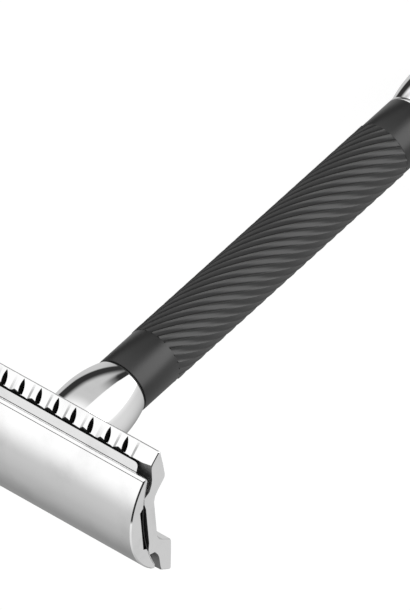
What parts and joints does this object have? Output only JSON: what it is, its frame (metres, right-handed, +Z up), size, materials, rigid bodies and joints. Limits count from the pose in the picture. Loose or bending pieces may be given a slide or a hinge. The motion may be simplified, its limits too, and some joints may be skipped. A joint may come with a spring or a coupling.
{
  "type": "double-edge safety razor",
  "caption": "Twist-to-open double-edge safety razor with arched cap, clamped blade, slotted closed guards, bulged neck, ribbed black grip and turning knob.",
  "frame": {"origin": "centre of the knob's flat end face, on which the razor stands upright", "axes": "+Z up the handle towards the head; X along the head and the blade's edges; Y across the head"},
  "size_m": [0.0428, 0.0248, 0.1055],
  "materials": {
    "chrome_head": "polished",
    "chrome_handle": "polished",
    "stud_steel": "threaded",
    "blade_steel": "ground edge",
    "black_ring": "satin",
    "black_grip": "matte",
    "plain_steel": "turned",
    "brass": "turned",
    "nylon": "moulded"
  },
  "bodies": {
    "handle": {"base_plate": "chrome_head", "neck": "chrome_handle", "neck_ring": "black_ring", "core_tube": "plain_steel", "grip_sleeve": "black_grip", "upper_bush": "nylon", "wave_washer": "plain_steel", "end_rim": "chrome_handle", "lower_bush": "nylon", "thrust_washer": "brass"},
    "knob": {"knob": "chrome_handle", "knob_screw": "plain_steel", "knob_cover": "chrome_handle", "spindle": "plain_steel", "spindle_nut": "brass"},
    "cap": {"cap": "chrome_head", "cap_stud": "stud_steel", "locating_post_left": "chrome_head", "locating_post_right": "chrome_head"},
    "blade": {"blade": "blade_steel"}
  },
  "joints": [
    {"name": "knob_turn", "type": "hinge", "parent": "handle", "child": "knob", "pos_m": [0, 0, 0], "axis": [0, 0, -1], "range_deg": [0, 2520]},
    {"name": "cap_lift", "type": "slide", "parent": "handle", "child": "cap", "axis": [0, 0, 1], "range_m": [0, 0.00561]},
    {"name": "blade_float", "type": "slide", "parent": "handle", "child": "blade", "axis": [0, 0, 1], "range_m": [0, 0.00281]}
  ],
  "couplings": [
    {"joint": "cap_lift", "follows": "knob_turn", "m_per_rad": 0.00012732},
    {"joint": "blade_float", "follows": "knob_turn", "m_per_rad": 0.000063662}
  ]
}
